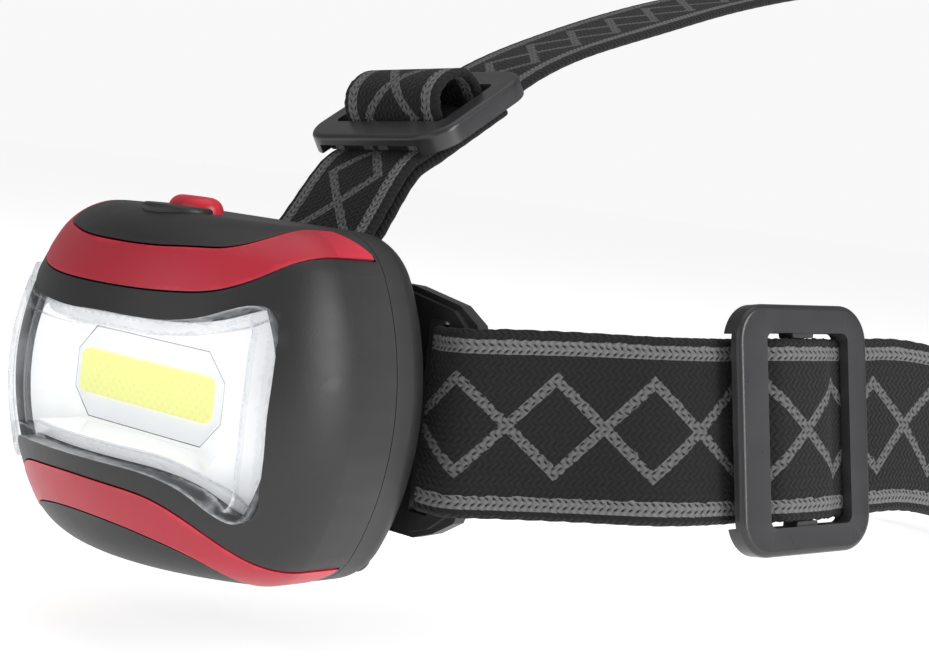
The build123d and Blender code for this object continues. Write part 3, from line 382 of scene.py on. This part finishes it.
MATERIALS = {
    "body_plastic": moulded("body_plastic", (0.012, 0.012, 0.0125), (0.018, 0.018, 0.0185), 0.46),
    "bracket_plastic": moulded("bracket_plastic", (0.012, 0.012, 0.013), (0.018, 0.018, 0.019), 0.4),
    "tray_plastic": moulded("tray_plastic", (0.022, 0.022, 0.022), (0.03, 0.03, 0.03), 0.5),
    "slider_plastic": moulded(
        "slider_plastic", (0.020, 0.020, 0.022), (0.028, 0.028, 0.030), 0.3, 6000.0, 0.00001),
    "trim_red": moulded("trim_red", (0.38, 0.012, 0.028), (0.46, 0.018, 0.038), 0.38, 5200.0, 0.00002),
    "button_red": moulded("button_red", (0.55, 0.012, 0.03), (0.62, 0.02, 0.04), 0.34, 5200.0, 0.00002),
    "button_surround": moulded("button_surround", (0.012, 0.012, 0.013), (0.018, 0.018, 0.019), 0.45),
    "seal_rubber": moulded("seal_rubber", (0.012, 0.012, 0.012), (0.02, 0.02, 0.02), 0.7),
    "lens_clear": clear_lens("lens_clear"),
    "reflector_white": white_reflector("reflector_white"),
    "led_board": board_white("led_board"),
    "led_phosphor": phosphor("led_phosphor"),
    "heat_plate": metal("heat_plate", (0.72, 0.72, 0.74), 0.4),
    "circuit_board": circuit_board("circuit_board"),
    "chip_black": moulded("chip_black", (0.012, 0.012, 0.012), (0.02, 0.02, 0.02), 0.45),
    "component": moulded("component", (0.12, 0.08, 0.04), (0.2, 0.14, 0.08), 0.4),
    "switch_plunger": moulded("switch_plunger", (0.7, 0.7, 0.66), (0.78, 0.78, 0.74), 0.4),
    "wire_red": moulded("wire_red", (0.42, 0.012, 0.012), (0.5, 0.02, 0.02), 0.35),
    "wire_black": moulded("wire_black", (0.012, 0.012, 0.012), (0.02, 0.02, 0.02), 0.35),
    "cell_jacket": cell_jacket("cell_jacket"),
    "contact_nickel": metal("contact_nickel", (0.74, 0.72, 0.68), 0.2),
    "screw_steel": metal("screw_steel", (0.58, 0.58, 0.6), 0.3),
    "pad_foam": foam("pad_foam"),
}
WIDE = 25.0 * MM
NARROW = 20.0 * MM
WEBBING_WIDE = webbing("webbing_wide", WIDE)
WEBBING_NARROW = webbing("webbing_narrow", NARROW)


def dress_cad_nodes():
    """Every CAD node gets its finish and smooth shading that keeps its sharp edges."""
    for part in frame["record"]["subparts"]:
        material = MATERIALS.get(part["material_slot"])
        obj = nodes[part["node"]]
        mesh = obj.data
        mesh.materials.clear()
        mesh.materials.append(material)
        mesh.polygons.foreach_set("material_index", [0] * len(mesh.polygons))
        mesh.shade_smooth()
        mesh.set_sharp_from_angle(angle=math.radians(28))


dress_cad_nodes()


# ---- webbing ---------------------------------------------------------------------------
# Millimetres and degrees, the same as the CAD part's.
WEB_T = 1.3
LAYER_GAP = 1.6          # between the middles of two layers that lie together
LEAN = 10.2              # how far the band leans in at the top along the sides
TOP_TWIST = math.radians(4.3)
GLIDE_LIFT = 1.0
CENTRE_BAR_T = 1.5


def smooth(points, steps):
    """Catmull-Rom curve through the points, with so many steps from each to the next."""
    pts = [Vector(p) for p in points]
    ends = [pts[0] * 2 - pts[1]] + pts + [pts[-1] * 2 - pts[-2]]
    out = []
    for i in range(1, len(ends) - 2):
        p0, p1, p2, p3 = ends[i - 1:i + 3]
        for k in range(steps):
            t = k / steps
            curve = p1 * 2 + (p2 - p0) * t + (p0 * 2 - p1 * 5 + p2 * 4 - p3) * t ** 2
            out.append((curve + (p1 * 3 - p0 - p2 * 3 + p3) * t ** 3) * 0.5)
    out.append(pts[-1])
    return out


def even(points, step):
    """The same line with points at an even spacing."""
    lengths = [0.0]
    for a, b in zip(points, points[1:]):
        lengths.append(lengths[-1] + (b - a).length)
    count = max(2, round(lengths[-1] / step))
    out = []
    i = 0
    for k in range(count + 1):
        target = lengths[-1] * k / count
        while i < len(points) - 2 and lengths[i + 1] < target:
            i += 1
        share = (target - lengths[i]) / max(lengths[i + 1] - lengths[i], 1e-9)
        out.append(points[i].lerp(points[i + 1], share))
    return out


def lean_at(point):
    return math.radians(LEAN) * ease(abs(point.x), 36.0, 55.0)


def side_frame(point, tangent):
    """Across and outward directions of the headband, whichever way its line runs."""
    out = tangent.cross(Vector((0, 0, 1))).normalized()
    upright = out.cross(tangent).normalized()
    lean = lean_at(point)
    if out.x * point.x < 0 and abs(point.x) > 36:
        lean = -lean
    return upright * math.cos(lean) - out * math.sin(lean), out * math.cos(lean) + upright * math.sin(lean)


def ease(value, start, full):
    """0 at start and 1 at full, with a smooth change between them."""
    share = min(max((value - start) / (full - start), 0.0), 1.0)
    return share * share * (3 - 2 * share)


def top_frame(point, tangent):
    """The top strap lies along X, with a slight twist at its slider, right end up."""
    flat = Vector((1, 0, 0))
    out = tangent.cross(flat).normalized()
    if out.z < 0:
        out = -out
    twist = TOP_TWIST * ease(point.z, 18.0, 36.0) * (1 - ease(point.y, 20.0, 60.0))
    across = flat * math.cos(twist) + out * math.sin(twist)
    return across, tangent.cross(across).normalized()


SECTION = ((-1, 0), (-0.985, 0.62), (-0.95, 1), (-0.5, 1), (0, 1), (0.5, 1), (0.95, 1), (0.985, 0.62), (1, 0))


def build_webbing(name, line, directions, width, material, body, start=0.0):
    """A woven ribbon along a line of points in millimetres, with rounded, slightly wavy edges."""
    ring = list(SECTION) + [(a, -b) for a, b in reversed(SECTION[1:-1])]
    mesh = bpy.data.meshes.new(name)
    verts = []
    uvs = []
    travelled = start
    last = len(line) - 1
    for i, point in enumerate(line):
        tangent = (line[min(i + 1, last)] - line[max(i - 1, 0)]).normalized()
        across, normal = directions(point, tangent)
        if i:
            travelled += (point - line[i - 1]).length
        wave = 0.09 * math.sin(travelled * 6.3) + 0.06 * math.sin(travelled * 2.1)
        for a, b in ring:
            reach = width / MM / 2 + wave * (abs(a) > 0.9)
            verts.append((point + across * (a * reach) + normal * (b * WEB_T / 2)) * MM)
            uvs.append((travelled * MM, a * reach * MM))
    count = len(ring)
    faces = []
    for i in range(last):
        for k in range(count):
            j = (k + 1) % count
            faces.append((i * count + k, i * count + j, (i + 1) * count + j, (i + 1) * count + k))
    faces.append(tuple(reversed(range(count))))
    faces.append(tuple(last * count + k for k in range(count)))
    mesh.from_pydata(verts, [], faces)
    layer = mesh.uv_layers.new(name="webbing")
    for loop in mesh.loops:
        layer.data[loop.index].uv = uvs[loop.vertex_index]
    mesh.materials.append(material)
    mesh.shade_smooth()
    bm = bmesh.new()
    bm.from_mesh(mesh)
    bmesh.ops.recalc_face_normals(bm, faces=bm.faces)
    bm.to_mesh(mesh)
    bm.free()
    mesh.set_sharp_from_angle(angle=math.radians(60))
    obj = bpy.data.objects.new(name, mesh)
    bpy.context.scene.collection.objects.link(obj)
    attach(obj, body)
    return obj


def mirrored(points):
    return [Vector((-p.x, p.y, p.z)) for p in points]


SEAT = Vector((58.6, 24.9, 3.2))
SEAT_PLAN = math.radians(79.9)
SEAT_WAY = Vector((math.cos(SEAT_PLAN), math.sin(SEAT_PLAN), 0.035)).normalized()
TOP_SEAT = Vector((0, 8.5, 39.3))
TOP_RISE = math.radians(32.0)
TOP_WAY = Vector((0, math.cos(TOP_RISE), math.sin(TOP_RISE)))
STEP = 1.0
SLIDER_AHEAD = 1.6       # the side slider's middle, along the band from its seat
INNER_END = 11.0         # the side loop's inner layer ends this far along from the seat
SIDE_SEAM = (4.0, 4.3)   # the side loop ends and the headband starts, along from the seat
TOP_INNER_END = 8.5
TOP_SEAM = (2.9, 3.15)
SIDE_SLIDER_LENGTH = 26.0
TOP_SLIDER_LENGTH = 22.5
SLIDER_BAR = 5.4         # the widest bar that a bight passes under
BIGHT_TUCK = 1.4         # a bight stops this far inside the slider's end

# How far along the woven pattern each ribbon starts, near to where the loop before it stops.
HEADBAND_START = 121.0
TOP_STRAP_START = 90.0
BIGHT_START = 40.0


def seat(along):
    return SEAT + SEAT_WAY * along


def top_seat(along):
    return TOP_SEAT + TOP_WAY * along


def inner_layer(outer, first, directions, way):
    last = len(outer) - 1
    layer = []
    for i in range(last, first - 1, -1):
        tangent = (outer[min(i + 1, last)] - outer[max(i - 1, 0)]).normalized()
        _, normal = directions(outer[i], tangent)
        layer.append(outer[i] + normal * (way * LAYER_GAP))
    return layer


BRACKET_LEAD = [(30.2, -13.35, 0.0), (33.0, -13.3, 0.2), (36.4, -11.2, 0.6)]
BRACKET_LEAD += [(45.0, -3.0, 1.6), (53.2, 5.2, 2.4)]
SIDE_TURN = [(33.4, -7.9, 0.2), (30.0, -7.85, 0.0), (28.0, -8.1, 0.0), (27.3, -9.4, 0.0)]
SIDE_TURN += [(27.3, -11.8, 0.0), (27.9, -13.05, 0.0)]


def side_path(end):
    return smooth([Vector(p) for p in BRACKET_LEAD] + [seat(-11.5), seat(0.0), seat(end)], 3)


def build_side_loops():
    inner = inner_layer(side_path(INNER_END), 7, side_frame, -1)
    line = inner + [Vector(p) for p in SIDE_TURN] + side_path(SIDE_SEAM[0])
    line = even(smooth(line, 3), STEP)
    for side, points in (("right", line), ("left", mirrored(line))):
        name = "webbing_loop_" + side
        piece = build_webbing(name, points, side_frame, WIDE, WEBBING_WIDE, "harness")
        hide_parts("side_loop_" + side)


def build_headband():
    half = [seat(SIDE_SEAM[1]), seat(14.0), seat(27.0)]
    half += [(65.5, 64.0, 2.2), (66.8, 76.0, -2.5), (68.3, 88.0, -8.0)]
    half += [(69.3, 100.0, -12.8), (68.6, 115.0, -16.0), (66.0, 135.0, -17.5), (57.0, 160.0, -17.5)]
    half += [(42.0, 186.0, -17.0), (29.0, 200.5, -17.0), (21.5, 205.75, -17.0), (18.2, 205.75, -17.0)]
    half += [(15.4, 204.6, -17.0), (12.4, 202.2, -17.0), (9.4, 200.9, -17.0), (0.0, 200.75, -17.0)]
    half = smooth(half, 5)
    line = even(half + list(reversed(mirrored(half[:-1]))), STEP)
    piece = build_webbing("webbing_headband", line, side_frame, WIDE, WEBBING_WIDE, "harness", HEADBAND_START)
    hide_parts("headband")


TOP_LEAD = [(0, -13.25, 14.6), (0, -13.25, 16.6), (0, -11.9, 19.2), (0, -8.6, 23.6), (0, -2.6, 32.2)]
TOP_TURN = [(0, -7.75, 16.8), (0, -7.75, 14.6), (0, -8.3, 13.0), (0, -9.4, 12.4)]
TOP_TURN += [(0, -11.8, 12.4), (0, -12.9, 13.0)]


def top_path(end):
    return smooth([Vector(p) for p in TOP_LEAD] + [top_seat(-7.0), top_seat(0.0), top_seat(end)], 3)


def build_top_webbing():
    inner = inner_layer(top_path(TOP_INNER_END), 8, top_frame, 1)
    line = even(smooth(inner + [Vector(p) for p in TOP_TURN] + top_path(TOP_SEAM[0]), 3), STEP)
    piece = build_webbing("webbing_top_loop", line, top_frame, NARROW, WEBBING_NARROW, "harness")
    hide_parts("top_loop")
    strap = [top_seat(TOP_SEAM[1]), top_seat(9.0), top_seat(18.0)]
    strap += [(0, 34.0, 53.6), (0, 50.0, 59.4), (0, 70.0, 66.0)]
    strap += [(0, 88.0, 71.0), (0, 105.0, 75.0), (0, 123.0, 78.8), (0, 140.0, 82.5), (0, 156.0, 85.0)]
    strap += [(0, 170.0, 86.0), (0, 183.0, 81.0), (0, 194.0, 63.0), (0, 201.0, 42.0), (0, 205.0, 18.0)]
    strap += [(0, 205.7, 4.2), (0, 204.9, 1.6), (0, 203.3, 0.6), (0, 201.7, 1.6), (0, 200.9, 4.2)]
    strap += [(0, 200.6, 11.8), (0, 198.9, 21.8)]
    line = even(smooth(strap, 5), STEP)
    name = "webbing_top_strap"
    piece = build_webbing(name, line, top_frame, NARROW, WEBBING_NARROW, "harness", TOP_STRAP_START)
    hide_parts("top_strap")


def build_bights():
    """The webbing that shows in each slider's window, over its centre bar."""
    z = GLIDE_LIFT + WEB_T / 2 + 0.08
    high = GLIDE_LIFT + CENTRE_BAR_T + WEB_T / 2 + 0.12
    across, normal = side_frame(SEAT, SEAT_WAY)
    top_across, top_normal = top_frame(TOP_SEAT, TOP_WAY)
    middle = seat(SLIDER_AHEAD)
    places = [
        ("right", SIDE_SLIDER_LENGTH, WIDE, WEBBING_WIDE, middle, SEAT_WAY, across, normal, False),
        ("left", SIDE_SLIDER_LENGTH, WIDE, WEBBING_WIDE, middle, SEAT_WAY, across, normal, True),
        ("top", TOP_SLIDER_LENGTH, NARROW, WEBBING_NARROW,
         TOP_SEAT, TOP_WAY, -top_across, -top_normal, False),
    ]
    for name, length, width, material, middle, way, wide, out, flip in places:
        edge = length / 2 - SLIDER_BAR
        end = length / 2 - BIGHT_TUCK
        half = [(1.7, high), (edge * 0.6, z + 1.2), (edge - 0.5, z + 0.04), (end, z)]
        if name == "top":
            half = [(0.0, 8.2), (3.0, 7.4), (4.4, 5.2), (4.5, 3.3), (5.8, z + 0.03), (end, z)]
        both = [(-x, h) for x, h in reversed(half) if x > 0] + half
        line = [middle + way * x + out * h for x, h in both]
        if flip:
            line = mirrored(line)
            wide = Vector((-wide.x, wide.y, wide.z))
        line = even(smooth(line, 6), 0.6)

        def directions(point, tangent, wide=wide):
            return wide, tangent.cross(wide).normalized()

        body = "slider_" + name
        piece = build_webbing("webbing_bight_" + name, line, directions, width, material, body, BIGHT_START)
        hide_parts("slider_webbing_" + name)


build_side_loops()
build_headband()
build_top_webbing()
build_bights()


# ---- forehead pad ----------------------------------------------------------------------
def build_pad():
    """A moulded foam pad: crowned, with softly rounded edges and two pressed channels."""
    low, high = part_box("forehead_pad")
    middle = (low + high) / 2
    size = high - low
    nx, nz = 48, 26                      # cells of the grid along and up the pad
    front_round, back_round = 0.22, 0.30   # share of the thickness that each face's edge falls away
    groove_depth, groove_at, groove_width = 0.12, 0.36, 0.035
    bm = bmesh.new()
    grids = []
    for back in (False, True):
        grid = []
        for i in range(nx + 1):
            row = []
            for k in range(nz + 1):
                a = 2 * i / nx - 1
                b = 2 * k / nz - 1
                reach = max(abs(a), abs(b)) ** 6
                corner = 1 - 0.10 * (abs(a) ** 8) * (abs(b) ** 8)
                x = middle.x + a * size.x / 2 * corner
                z = middle.z + b * size.z / 2 * corner
                if back:
                    groove = math.exp(-((abs(a) - groove_at) / groove_width) ** 2) * (1 - reach)
                    y = high.y - size.y * (back_round * reach + groove_depth * groove)
                else:
                    y = low.y + size.y * front_round * reach
                row.append(bm.verts.new((x, y, z)))
            grid.append(row)
        grids.append(grid)
    front, rear = grids
    for i in range(nx):
        for k in range(nz):
            bm.faces.new((front[i][k], front[i + 1][k], front[i + 1][k + 1], front[i][k + 1]))
            bm.faces.new((rear[i][k], rear[i][k + 1], rear[i + 1][k + 1], rear[i + 1][k]))
    for i in range(nx):
        bm.faces.new((front[i][0], rear[i][0], rear[i + 1][0], front[i + 1][0]))
        bm.faces.new((front[i][nz], front[i + 1][nz], rear[i + 1][nz], rear[i][nz]))
    for k in range(nz):
        bm.faces.new((front[0][k], front[0][k + 1], rear[0][k + 1], rear[0][k]))
        bm.faces.new((front[nx][k], rear[nx][k], rear[nx][k + 1], front[nx][k + 1]))
    bmesh.ops.recalc_face_normals(bm, faces=bm.faces)
    mesh = bpy.data.meshes.new("pad_cushion")
    bm.to_mesh(mesh)
    bm.free()
    mesh.materials.append(MATERIALS["pad_foam"])
    mesh.shade_smooth()
    pad = bpy.data.objects.new("pad_cushion", mesh)
    bpy.context.scene.collection.objects.link(pad)
    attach(pad, "harness")
    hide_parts("forehead_pad")


build_pad()


# ---- floor and light -------------------------------------------------------------------
def add_floor():
    """A pale floor, lifted to the tone of the studio behind it."""
    low, _ = cad_box
    bpy.ops.mesh.primitive_plane_add(size=12.0, location=(0, 0, low.z - 0.004))
    floor = bpy.context.object
    floor.name = "floor"
    n = Nodes("floor_paper")
    tone = n.mix(n.noise(3.0, 2.0, 0.5), (0.86, 0.86, 0.86), (0.90, 0.90, 0.90))
    shader = n.principled(Base_Color=tone, Roughness=0.9, Emission_Strength=0.68)
    shader.inputs["Emission Color"].default_value = (1.0, 1.0, 1.0, 1.0)
    floor.data.materials.append(n.material)


def add_area(name, place, aim, size, power, colour=(1.0, 1.0, 1.0)):
    data = bpy.data.lights.new(name, "AREA")
    data.shape = "RECTANGLE"
    data.size, data.size_y = size
    data.energy = power
    data.color = colour
    light = bpy.data.objects.new(name, data)
    bpy.context.scene.collection.objects.link(light)
    light.location = place
    light.rotation_mode = "QUATERNION"
    light.rotation_quaternion = (Vector(aim) - Vector(place)).to_track_quat("-Z", "Y")


def add_lights():
    world = bpy.data.worlds.new("studio")
    world.use_nodes = True
    tree = world.node_tree
    background = tree.nodes["Background"]
    background.inputs["Color"].default_value = (1.0, 1.0, 1.0, 1.0)
    seen = tree.nodes.new("ShaderNodeLightPath").outputs["Is Camera Ray"]
    strength = tree.nodes.new("ShaderNodeMath")
    strength.operation = "MULTIPLY_ADD"
    strength.inputs[1].default_value = 0.66
    strength.inputs[2].default_value = 0.28
    tree.links.new(seen, strength.inputs[0])
    tree.links.new(strength.outputs["Value"], background.inputs["Strength"])
    bpy.context.scene.world = world
    aim = (0.02, 0.0, 0.0)
    add_area("key_right", (0.75, 0.10, 0.30), aim, (0.3, 0.6), 4.6)
    add_area("fill_front", (-0.1, -0.8, 0.35), aim, (0.7, 0.5), 1.2)
    add_area("top_soft", (0.0, 0.0, 0.8), aim, (0.8, 0.8), 1.6)


add_floor()
add_lights()
bpy.context.scene.view_settings.view_transform = "Standard"

bpy.context.view_layer.update()
